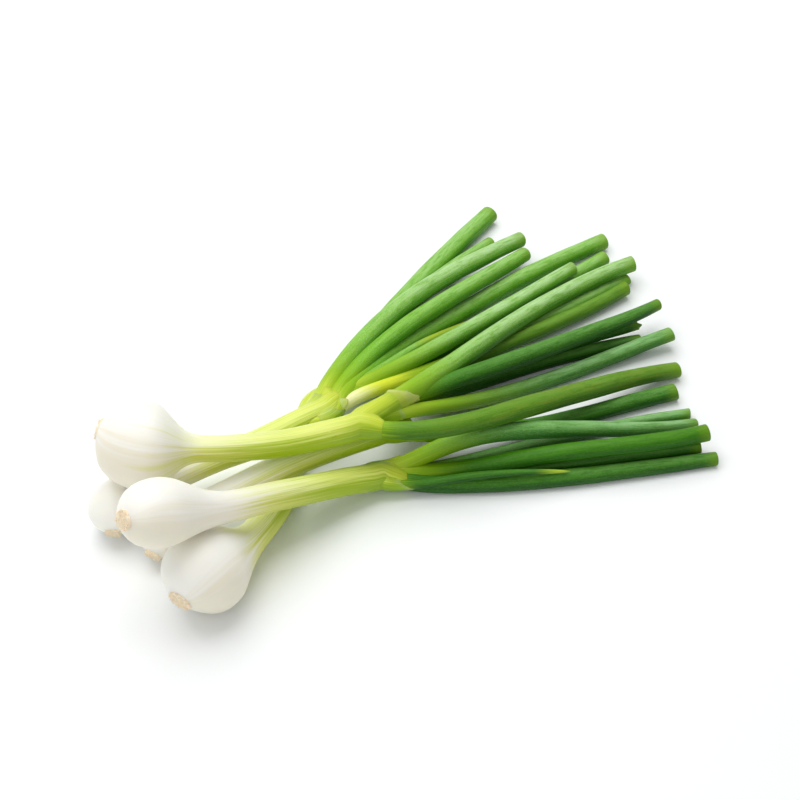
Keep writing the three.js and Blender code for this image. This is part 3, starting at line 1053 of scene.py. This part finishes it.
    def mark(self, made: bpy.types.Object) -> bpy.types.Object:
        """Writes onto each corner where on the plant it is.

        Args:
            made: the melted skin.

        Returns:
            The same object.
        """
        data = made.data
        points = np.empty(len(data.vertices) * 3)
        data.vertices.foreach_get("co", points)
        points = points.reshape(-1, 3) / MM + ORIGIN
        total = self.plant.stem.length
        away, along, turn = self.stem.locate(points)
        best = np.abs(away)
        tone, paper, rim = along - total, np.zeros(len(points)), np.zeros(len(points))
        grain = grain_of(along, turn)
        near = tone > -BELOW
        for leaf, sleeve in zip(self.plant.leaves, self.sleeves):
            away, along, turn = sleeve.locate(points[near])
            closer = np.abs(away) < best[near]
            index = np.flatnonzero(near)[closer]
            best[index] = np.abs(away)[closer]
            tone[index] = (along - leaf.back)[closer]
            grain[index] = grain_of(along + (total - leaf.back), turn)[closer]
            left = sleeve.end + sleeve.edge(along, turn) - along
            paper[index] = (1 - smoothstep(left, 0.5, 4.0))[closer] * leaf.paper
            rim[index] = (1 - smoothstep(left, 0.0, 10.0))[closer]
        for name, kind, values in (
            ("grain", "FLOAT_VECTOR", grain), ("tone", "FLOAT", tone), ("paper", "FLOAT", paper),
            ("rim", "FLOAT", rim),
        ):
            layer = data.attributes.new(name, kind, "POINT")
            layer.data.foreach_set("vector" if values.ndim == 2 else "value", values.ravel())
        return made


def melted(rough: bpy.types.Object, name: str) -> bpy.types.Object:
    """Replaces an object by one that has its modifiers worked in.

    Args:
        rough: the object with modifiers, which is removed.
        name: the new object's name.

    Returns:
        The new object.
    """
    graph = bpy.context.evaluated_depsgraph_get()
    data = bpy.data.meshes.new_from_object(rough.evaluated_get(graph))
    bpy.data.objects.remove(rough)
    data.name = name
    for polygon in data.polygons:
        polygon.use_smooth = True
    made = bpy.data.objects.new(name, data)
    bpy.context.scene.collection.objects.link(made)
    return made


@dataclass
class RootSkin:
    """The trimmed root plate with its stubble."""

    plant: Plant
    rng: random.Random
    hairs: int = 90

    def build(self, name: str) -> bpy.types.Object:
        """Makes plate and stubble as one mesh.

        Args:
            name: the object's name.

        Returns:
            The object.
        """
        base = self.plant.bulb.base
        foot, direction, side, up = (v[0] for v in self.plant.stem.frame(0.0))
        out = -direction
        ripple = Ripple(self.rng, 0.5, 30.0, 8)
        # radius and height of the plate's rings, from its middle to under its rim
        reach = np.array([0.0, 0.25, 0.5, 0.72, 0.88, 1.0, 1.06, 1.05]) * base
        depth = np.array([0.45, 0.5, 0.55, 0.5, 0.4, 0.25, 0.0, -1.2])
        turn = np.linspace(0, 2 * math.pi, PLATE_SIDES + 1)
        uneven = 1 + 0.10 * ripple(0 * turn, turn)
        rows = np.empty((len(reach), len(turn), 3))
        for i, (r, d) in enumerate(zip(reach, depth)):
            bump = 0.12 * np.sin(3 * turn + 1.7 * (i + 1)) * (0.2 < r / base < 0.98)
            rows[i] = (
                foot + np.outer(r * uneven * np.cos(turn), side)
                + np.outer(r * uneven * np.sin(turn), up) + np.outer(d + bump, out)
            )
        mesh = grid_mesh(rows, {"stub": np.zeros(rows.shape[:2])})
        stub = mesh.verts.layers.float["stub"]
        for k in range(self.hairs):
            self._stub(mesh, stub, k, foot, (out, side, up))
        bmesh.ops.recalc_face_normals(mesh, faces=mesh.faces)
        return to_object(mesh, name)

    def _stub(
        self, mesh: bmesh.types.BMesh, layer: bmesh.types.BMLayerItem, k: int,
        foot: np.ndarray, axes: tuple[np.ndarray, ...],
    ) -> None:
        """Adds one cut root: a thin leaning cone sunk into the plate.

        Args:
            mesh: the plate's mesh.
            layer: where the mesh keeps how straw-coloured a corner is.
            k: which root it is; they spiral outwards.
            foot: the middle of the plate.
            axes: the directions out of the plate, sideways and up.
        """
        out, side, up = axes
        rng, base = self.rng, self.plant.bulb.base
        turn = k * SPIRAL + rng.uniform(-0.3, 0.3)
        far = 0.98 * base * math.sqrt((k + 0.5) / self.hairs)
        far = max(0.3, far + rng.uniform(-0.35, 0.2))
        away = side * math.cos(turn) + up * math.sin(turn)
        lean = away * (far / base) * rng.uniform(0.1, 0.9) + out
        lean = unit(lean + side * rng.uniform(-0.4, 0.4) + up * rng.uniform(-0.4, 0.4))
        long = rng.uniform(0.1, 0.35) if rng.random() < 0.8 else rng.uniform(0.35, 0.7)
        thick = rng.uniform(0.16, 0.3)
        start = foot + away * far + out * 0.2
        spin = Vector((0, 0, 1)).rotation_difference(Vector(lean)).to_matrix().to_4x4()
        middle = start + lean * (long + ROOT_SUNK) / 2
        place = Matrix.Translation(Vector((middle - ORIGIN) * MM)) @ spin
        made = bmesh.ops.create_cone(
            mesh, cap_ends=True, segments=5, radius1=thick * MM, radius2=thick * 0.6 * MM,
            depth=(long + ROOT_SUNK) * MM, matrix=place,
        )
        for vert in made["verts"]:
            vert[layer] = 0.4 + 0.6 * rng.random()


@dataclass
class SheathSkin:
    """A thin papery sheath with a torn edge, round part of a leaf's base."""

    sheath: Sheath
    plant: Plant
    rng: random.Random

    def build(self, name: str) -> bpy.types.Object:
        """Makes the sheath as a thin sheet.

        Args:
            name: the object's name.

        Returns:
            The object.
        """
        strand = self.plant.blades[self.sheath.leaf - 1]
        torn = Ripple(self.rng, 1.3, 14.0, 9)
        wave = Ripple(self.rng, 0.22, 12.0, 6)
        start, end = self.sheath.start, self.sheath.end
        turn = np.linspace(0, 2 * math.pi, PAPER_SIDES + 1)
        share = np.linspace(0, 1, PAPER_RINGS)
        long, around = np.meshgrid(share, turn, indexing="ij")
        facing = 0.5 + 0.5 * np.cos(around - math.radians(self.sheath.facing))
        tip = start + (end - start) * facing**self.sheath.spread
        tip = tip + torn(0 * around, 3 * around) * facing
        along = start - TUCK + (tip - start + TUCK) * long
        base = strand.radius(np.clip(along, 0, strand.length))
        lift = 0.35 + 0.5 * long**2 + wave(along, around) * long
        radius = base + np.where(facing > 0.03, lift, -0.4)
        point, _, side, up = (v.reshape(*along.shape, 3) for v in strand.frame(along.ravel()))
        rows = (
            point + side * (radius * np.sin(around))[..., None]
            - up * (radius * np.cos(around))[..., None]
        )
        marks = {"grain": grain_of(along, around), "share": long}
        made = to_object(grid_mesh(rows, marks), name)
        thick = made.modifiers.new("thick", "SOLIDIFY")
        thick.thickness, thick.offset = PAPER * MM, 0.0
        return made


# ---------------------------------------------------------------- finishes


def srgb(red: float, green: float, blue: float) -> Colour:
    """A screen colour, 0 to 255, as linear light."""
    return tuple((v / 255) ** 2.2 for v in (red, green, blue))


Value = Union["Wire", float]


class Wire:
    """The output of a node, with arithmetic that adds nodes."""

    def __init__(self, paint: "Paint", socket: bpy.types.NodeSocket) -> None:
        """Wraps a node's output."""
        self.paint, self.socket = paint, socket

    def _math(self, kind: str, *values: Value, clamp: bool = False) -> "Wire":
        """Adds a Math node with these values."""
        settings = {"operation": kind, "use_clamp": clamp}
        return self.paint.node("ShaderNodeMath", settings, dict(enumerate(values)))

    def __add__(self, other: Value) -> "Wire":
        """Sum."""
        return self._math("ADD", self, other)

    def __radd__(self, other: Value) -> "Wire":
        """Sum, the other way round."""
        return self._math("ADD", other, self)

    def __sub__(self, other: Value) -> "Wire":
        """Difference."""
        return self._math("SUBTRACT", self, other)

    def __rsub__(self, other: Value) -> "Wire":
        """Difference, the other way round."""
        return self._math("SUBTRACT", other, self)

    def __mul__(self, other: Value) -> "Wire":
        """Product."""
        return self._math("MULTIPLY", self, other)

    def __rmul__(self, other: Value) -> "Wire":
        """Product, the other way round."""
        return self._math("MULTIPLY", other, self)

    def ease(self, low: float, high: float) -> "Wire":
        """Eases from 0 at low to 1 at high."""
        settings = {"interpolation_type": "SMOOTHSTEP"}
        values = {"Value": self, "From Min": low, "From Max": high}
        return self.paint.node("ShaderNodeMapRange", settings, values)


class Paint:
    """A material under construction."""

    def __init__(self, name: str) -> None:
        """Starts a material with one Principled shader.

        Args:
            name: the material's name.
        """
        self.material = bpy.data.materials.new(name)
        self.material.use_nodes = True
        self.tree = self.material.node_tree
        self.shader = self.tree.nodes["Principled BSDF"]

    def node(self, kind: str, settings: dict, values: dict, output: int | str = 0) -> Wire:
        """Adds a node.

        Args:
            kind: its type.
            settings: its properties, set first.
            values: socket names or numbers with what goes in.
            output: which of its outputs is wanted.

        Returns:
            That output.
        """
        made = self.tree.nodes.new(kind)
        for key, value in settings.items():
            setattr(made, key, value)
        for key, value in values.items():
            self.plug(made.inputs[key], value)
        return Wire(self, made.outputs[output])

    def plug(self, socket: bpy.types.NodeSocket, value: object) -> None:
        """Links a wire into a socket, or sets the socket's own value.

        Args:
            socket: the socket.
            value: a wire, or what the socket is set to.
        """
        if isinstance(value, Wire):
            self.tree.links.new(value.socket, socket)
        else:
            socket.default_value = value

    def mark(self, name: str, vector: bool = False) -> Wire:
        """Reads what is kept at each corner of the mesh."""
        return self.node(
            "ShaderNodeAttribute", {"attribute_name": name}, {}, "Vector" if vector else "Fac"
        )

    def stretched(self, place: Wire, scale: Triple) -> Wire:
        """Scales a place along its three axes."""
        return self.node("ShaderNodeVectorMath", {"operation": "MULTIPLY"}, {0: place, 1: scale})

    def noise(self, place: Wire, scale: float, detail: float = 3.0) -> Wire:
        """Soft noise from 0 to 1."""
        values = {"Vector": place, "Scale": scale, "Detail": detail, "Roughness": 0.55}
        return self.node("ShaderNodeTexNoise", {}, values, "Fac")

    def blend(self, share: Wire, first: object, second: object) -> Wire:
        """Mixes two colours, each fixed or a wire.

        Args:
            share: how much of the second there is.
            first: the colour at 0.
            second: the colour at 1.

        Returns:
            The mixed colour.
        """
        made = self.tree.nodes.new("ShaderNodeMix")
        made.data_type = "RGBA"
        self.plug(made.inputs[0], share)
        for index, colour in ((6, first), (7, second)):
            self.plug(made.inputs[index], colour if isinstance(colour, Wire) else (*colour, 1.0))
        return Wire(self, made.outputs[2])

    def grown(self, seed: float, facing: float) -> tuple[Wire, Wire]:
        """Reads where on a grown tube a point is.

        Args:
            seed: shifts the patterns from plant to plant.
            facing: the turn of the side that counts as the front.

        Returns:
            The place on the tube, shifted, and 0 at the back to 1 in front.
        """
        grain = self.mark("grain", vector=True)
        moved = {0: grain, 1: (seed, 0, seed)}
        shifted = self.node("ShaderNodeVectorMath", {"operation": "ADD"}, moved)
        half, way = 0.5 / GRAIN_ROUND, math.radians(facing)
        front = (half * math.cos(way), half * math.sin(way), 0)
        settings = {"operation": "DOT_PRODUCT"}
        turned = self.node("ShaderNodeVectorMath", settings, {0: grain, 1: front}, "Value")
        return shifted, turned + 0.5

    def relief(self, height: Wire, depth: float, strength: float = 1.0) -> Wire:
        """Turns a height into a bumped normal."""
        values = {"Height": height, "Strength": strength, "Distance": depth * MM}
        return self.node("ShaderNodeBump", {}, values)

    def dress(self, **sockets: object) -> bpy.types.Material:
        """Sets the shader's sockets.

        Args:
            sockets: values or wires by socket name, with _ for a space.

        Returns:
            The finished material.
        """
        for name, value in sockets.items():
            self.plug(self.shader.inputs[name.replace("_", " ")], value)
        return self.material


@dataclass(frozen=True)
class LeafFinish:
    """Waxy green, veined lengthwise, pale and yellowish where it leaves the throat, painted
    lighter on its upper side and darker on its lower side.
    """

    green: Green
    seed: float
    throat: float = 38.0  # how far the yellow-green reaches
    cream: float = 0.0  # how far the base is cream
    stain: float = 0.0
    gilt: float = 1.0
    pale: Colour = srgb(210, 224, 84)
    lime: Colour = srgb(146, 186, 18)

    def material(self, name: str) -> bpy.types.Material:
        """Builds the material.

        Args:
            name: its name.

        Returns:
            The material.
        """
        darker_and_painted_shade_green, lighter_and_painted_lit_green, bloom, share = self.green.value
        paint = Paint(name)
        # painted light: the side facing up at turn 160 is painted lighter as if lit, and the side
        # away from it darker as if in shade
        shifted, painted_lit_side = paint.grown(self.seed, 160)
        tone, inner, along = (paint.mark(n) for n in ("tone", "inner", "share"))
        veins = paint.noise(paint.stretched(shifted, (1, 1, 0.012)), 1.9, 4)
        lines = paint.noise(paint.stretched(shifted, (1, 1, 0.008)), 4.2, 2)
        blotch = paint.noise(paint.stretched(shifted, (0.5, 0.5, 0.06)), 0.9, 3)
        wax = paint.noise(paint.stretched(shifted, (1, 1, 0.25)), 0.55, 5)
        # random tone and veins, plus painted light and shade: upper side lighter, lower side
        # darker
        light = blotch.ease(0.32, 0.68) * 0.25 + painted_lit_side.ease(0.3, 1.0) * 0.85 + (veins - 0.5) * 1.1
        body = paint.blend(light, darker_and_painted_shade_green, lighter_and_painted_lit_green)
        # waxy bloom, a real whitish film, laid only on the upper side so that it is also a painted
        # sheen
        bloom_and_painted_sheen = (wax.ease(0.3, 0.7) * 0.7 + 0.3) * painted_lit_side.ease(0.55, 1.0) * tone.ease(30, 120) * share
        body = paint.blend(bloom_and_painted_sheen, body, bloom)
        body = paint.blend(lines.ease(0.55, 0.72) * 0.4, body, darker_and_painted_shade_green)
        body = paint.blend((1 - wax.ease(0.36, 0.5)) * 0.25, body, darker_and_painted_shade_green)
        # pale specks of bloom, real mottling, set mostly on the upper side as a painted sheen
        specks_and_painted_sheen = paint.noise(paint.stretched(shifted, (1, 1, 0.4)), 2.6, 3)
        body = paint.blend(specks_and_painted_sheen.ease(0.48, 0.68) * (painted_lit_side * 0.3 + 0.06), body, bloom)
        streaked = tone + (veins - 0.5) * 26 + (blotch - 0.5) * 10
        body = paint.blend(streaked.ease(0.2 * self.throat, 1.3 * self.throat), self.lime, body)
        # the pale throat, its own colour, painted lighter on the upper side than on the lower side
        pale = (1 - streaked.ease(-6, 0.6 * self.throat)) * (painted_lit_side * 0.7 + 0.3)
        body = paint.blend(pale, body, self.pale)
        if self.cream:
            golden = 1 - streaked.ease(self.cream * 1.6, self.cream * 2.5)
            body = paint.blend(golden, body, srgb(224, 234, 62))
            creamy = 1 - streaked.ease(self.cream - 8, self.cream + 8)
            body = paint.blend(creamy, body, srgb(246, 247, 182))
        if self.stain:
            worn = blotch.ease(0.45, 0.75) * along.ease(0.15, 0.5) * self.stain
            body = paint.blend(worn, body, srgb(134, 122, 40))
        if self.gilt < 1:
            body = paint.blend(along.ease(self.gilt, self.gilt + 0.15), body, srgb(168, 196, 60))
        body = paint.blend(along.ease(0.95, 1.0) * 0.5, body, srgb(120, 160, 30))
        body = paint.blend(inner.ease(0.1, 0.9), body, srgb(150, 186, 88))
        height = veins * 0.8 + wax * 0.4
        return paint.dress(
            Base_Color=body, Roughness=wax * 0.2 + 0.38,
            Normal=paint.relief(height, 0.35, 0.55),
            Subsurface_Weight=0.12, Subsurface_Radius=(1.0, 1.0, 0.3), Subsurface_Scale=1.2 * MM,
            Specular_IOR_Level=0.22,
        )


@dataclass(frozen=True)
class BodyFinish:
    """Glossy white bulb, then a shank that turns cream and yellow-green at the throat, painted
    paler on its lit upper side and warmer and more saturated on its shaded lower front side.
    """

    white: float
    seed: float
    # painted light: colours of the upper side, from bulb white over cream and green to lime
    painted_lit_colours: tuple[Colour, ...] = (
        srgb(246, 244, 236), srgb(238, 241, 190), srgb(222, 232, 122), srgb(198, 214, 62),
    )
    # painted shade: the same colours for the lower front side, warmer and more saturated
    low: tuple[Colour, ...] = (
        srgb(238, 232, 214), srgb(214, 216, 104), srgb(160, 186, 8), srgb(132, 168, 0),
    )
    husk: Colour = srgb(220, 228, 180)

    def material(self, name: str) -> bpy.types.Material:
        """Builds the material.

        Args:
            name: its name.

        Returns:
            The material.
        """
        paint = Paint(name)
        # low is the lower front side, which is painted in the shaded colours
        shifted, low = paint.grown(self.seed, 300)
        tone, paper, rim = (paint.mark(n) for n in ("tone", "paper", "rim"))
        veins = paint.noise(paint.stretched(shifted, (1, 1, 0.015)), 1.5, 4)
        lines = paint.noise(paint.stretched(shifted, (1, 1, 0.008)), 3.6, 2)
        bands = paint.noise(paint.stretched(shifted, (0.6, 0.6, 0.02)), 1.0, 2)
        film = paint.noise(paint.stretched(shifted, (1, 1, 0.2)), 0.6, 4)
        streaked = tone + (veins - 0.5) * 34 + (bands - 0.5) * 30
        # a lit and a shaded copy of the colours along the shank, mixed by side as painted light
        # and shade
        sides = []
        for snow, cream, green, lime in (self.painted_lit_colours, self.low):
            body = paint.blend(streaked.ease(-self.white - 10, -self.white + 14), snow, cream)
            body = paint.blend(streaked.ease(-self.white + 4, -self.white + 48), body, green)
            sides.append(paint.blend(streaked.ease(-18, 8), body, lime))
        body = paint.blend((low + (veins - 0.5) * 0.9).ease(0.4, 0.85), *sides)
        body = paint.blend(streaked.ease(2, 34) * 0.7, body, srgb(160, 192, 44))
        body = paint.blend(rim * (veins.ease(0.3, 0.7) * 0.5 + 0.4), body, srgb(132, 172, 24))
        grown = tone.ease(-self.white - 5, -self.white + 30) * 0.45
        body = paint.blend(lines.ease(0.54, 0.7) * grown, body, srgb(150, 178, 40))
        body = paint.blend(paper * (film * 0.8 + 0.2), body, self.husk)
        height = veins * 0.6 + film * 0.25 + bands * 0.3
        return paint.dress(
            Base_Color=body, Roughness=film * 0.2 + 0.28,
            Normal=paint.relief(height, 0.3, 0.45),
            Subsurface_Weight=0.5, Subsurface_Radius=(1.0, 0.9, 0.6), Subsurface_Scale=5 * MM,
            Specular_IOR_Level=0.38,
        )


@dataclass(frozen=True)
class RootFinish:
    """Dry tan plate with straw-coloured stubble."""

    dark: Colour = srgb(240, 214, 178)
    pale: Colour = srgb(254, 240, 216)
    straw: Colour = srgb(252, 238, 212)

    def material(self, name: str) -> bpy.types.Material:
        """Builds the material.

        Args:
            name: its name.

        Returns:
            The material.
        """
        paint = Paint(name)
        place = paint.node("ShaderNodeTexCoord", {}, {}, "Object")
        rough = paint.noise(place, 900, 5)
        stub = paint.mark("stub")
        body = paint.blend(rough.ease(0.35, 0.65), self.dark, self.pale)
        body = paint.blend(stub, body, self.straw)
        return paint.dress(
            Base_Color=body, Roughness=0.8, Normal=paint.relief(rough, 0.35, 0.4),
            Subsurface_Weight=0.15, Subsurface_Scale=1 * MM,
        )


@dataclass(frozen=True)
class SheathFinish:
    """Papery skin, whitish where it is dry, with fine ribs."""

    seed: float
    dry: Colour = srgb(210, 222, 132)
    fresh: Colour = srgb(190, 208, 70)

    def material(self, name: str) -> bpy.types.Material:
        """Builds the material.

        Args:
            name: its name.

        Returns:
            The material.
        """
        paint = Paint(name)
        grain = paint.mark("grain", vector=True)
        share = paint.mark("share")
        ribs = paint.noise(paint.stretched(grain, (1, 1, 0.03)), 2.2, 4)
        patch = paint.noise(grain, 0.5, 3)
        body = paint.blend(share.ease(0.35, 1.0) * (patch + 0.3), self.fresh, self.dry)
        return paint.dress(
            Base_Color=body, Roughness=patch * 0.3 + 0.4,
            Normal=paint.relief(ribs, 0.3, 0.6),
            Subsurface_Weight=0.3, Subsurface_Scale=1 * MM, Alpha=0.8,
        )


@dataclass(frozen=True)
class FloorFinish:
    """Matt, faintly cool white table."""

    white: float = 0.95

    def material(self) -> bpy.types.Material:
        """Builds the material.

        Returns:
            The material.
        """
        paint = Paint("table_white")
        place = paint.node("ShaderNodeTexCoord", {}, {}, "Object")
        faint = paint.noise(place, 6, 2)
        cool = (self.white - 0.03, self.white - 0.01, self.white)
        colour = paint.blend(faint, cool, (self.white, self.white + 0.02, self.white + 0.03))
        return paint.dress(Base_Color=colour, Roughness=0.9, Specular_IOR_Level=0.1)


# ---------------------------------------------------------------- studio


@dataclass
class Studio:
    """Camera, soft lights and the white table."""

    aim: Triple = (0.0, 0.0, 15.0)  # what the camera looks at
    away: float = 960.0  # how far from it the camera is
    tilt: float = 45.0  # how far down the camera looks, in degrees
    lens: float = 100.0
    sensor: float = 36.0
    glow: float = 0.42  # strength of the even light all round
    reach: float = 6.0  # half the side of the table, in metres
    under: float = 0.00005  # how far the table is below the part, in metres

    def camera(self) -> None:
        """Sets the camera, looking along +Y and down."""
        data = bpy.data.cameras.new("camera")
        data.lens, data.sensor_width, data.clip_end = self.lens, self.sensor, 20.0
        camera = bpy.data.objects.new("camera", data)
        tilt = math.radians(self.tilt)
        back = np.array([0.0, -math.cos(tilt), math.sin(tilt)]) * self.away
        camera.location = Vector((np.array(self.aim) - ORIGIN + back) * MM)
        camera.rotation_euler = (math.pi / 2 - tilt, 0.0, 0.0)
        bpy.context.scene.collection.objects.link(camera)
        bpy.context.scene.camera = camera

    def lamp(self, name: str, at: Triple, size: float, watts: float, colour: Colour) -> None:
        """Adds a soft square lamp that looks at the middle of the bunch.

        Args:
            name: its name.
            at: where it stands, in metres.
            size: the length of its side, in metres.
            watts: its power.
            colour: its colour.
        """
        data = bpy.data.lights.new(name, "AREA")
        data.shape, data.size, data.energy, data.color = "SQUARE", size, watts, colour
        lamp = bpy.data.objects.new(name, data)
        lamp.location = at
        lamp.rotation_euler = (-Vector(at)).to_track_quat("-Z", "Y").to_euler()
        bpy.context.scene.collection.objects.link(lamp)

    def light(self) -> None:
        """Sets the lamps and the even light all round."""
        self.lamp("key", (-0.22, 0.32, 1.08), 1.15, 12.0, (1.0, 0.995, 0.98))
        self.lamp("fill", (-0.5, -1.0, 0.85), 1.2, 3.6, (1.0, 1.0, 1.0))
        world = bpy.data.worlds.new("world")
        bpy.context.scene.world = world
        world.use_nodes = True
        back = world.node_tree.nodes["Background"]
        back.inputs["Color"].default_value = (1.0, 1.0, 1.0, 1.0)
        back.inputs["Strength"].default_value = self.glow

    def table(self) -> None:
        """Lays the white table."""
        mesh = bmesh.new()
        bmesh.ops.create_grid(mesh, x_segments=2, y_segments=2, size=self.reach)
        bmesh.ops.translate(mesh, verts=mesh.verts, vec=(0.0, 0.0, -self.under))
        table = to_object(mesh, "table")
        table.data.materials.append(FloorFinish().material())

    def develop(self) -> None:
        """Sets how light becomes picture."""
        view = bpy.context.scene.view_settings
        view.view_transform, view.look, view.exposure = "Standard", "None", 0.0


# ---------------------------------------------------------------- the bunch


class Bunch:
    """Grows every plant and dresses its pieces."""

    def __init__(self) -> None:
        """Lays all the plants, one over the other."""
        pile = Pile()
        for plant in PLANTS:
            plant.lay(pile)

    def dress(
        self, made: bpy.types.Object, node: str, slot: str, paint: bpy.types.Material
    ) -> None:
        """Gives a piece its material and its place in the part.

        Args:
            made: the piece.
            node: the solid it replaces.
            slot: not used.
            paint: its material.
        """
        made.data.materials.append(paint)
        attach(made, "root")
        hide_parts(node)
        log.info("%s: %d faces", made.name, len(made.data.polygons))

    def build(self) -> None:
        """Builds all the pieces."""
        for number, plant in enumerate(PLANTS):
            rng = random.Random(number * 101 + 7)
            name = plant.name
            body = BodySkin(plant, rng).build(f"{name}_body")
            finish = BodyFinish(plant.white, number * 13.0)
            self.dress(body, f"{name}_bulb", "bulb", finish.material(f"{name}_body_skin"))
            roots = RootSkin(plant, rng).build(f"{name}_root_plate")
            self.dress(roots, f"{name}_roots", "roots", RootFinish().material(f"{name}_root"))
            for i, (leaf, strand) in enumerate(zip(plant.leaves, plant.blades), 1):
                made = LeafSkin(leaf, strand, rng).build(f"{name}_blade_{i}")
                seed = number * 17.0 + i * 5
                finish = LeafFinish(
                    leaf.green, seed, leaf.throat, leaf.cream, leaf.stain, leaf.gilt
                )
                paint = finish.material(f"{name}_blade_{i}_skin")
                self.dress(made, f"{name}_leaf_{i}", "leaf", paint)
            if plant.sheath:
                made = SheathSkin(plant.sheath, plant, rng).build(f"{name}_paper")
                paint = SheathFinish(number * 3.0).material(f"{name}_paper_skin")
                self.dress(made, f"{name}_sheath", "sheath", paint)


def main() -> None:
    """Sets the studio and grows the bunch."""
    logging.basicConfig(level=logging.INFO, format="%(message)s")
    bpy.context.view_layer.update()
    studio = Studio()
    studio.camera()
    studio.develop()
    studio.light()
    studio.table()
    Bunch().build()


if __name__ == "__main__":
    main()
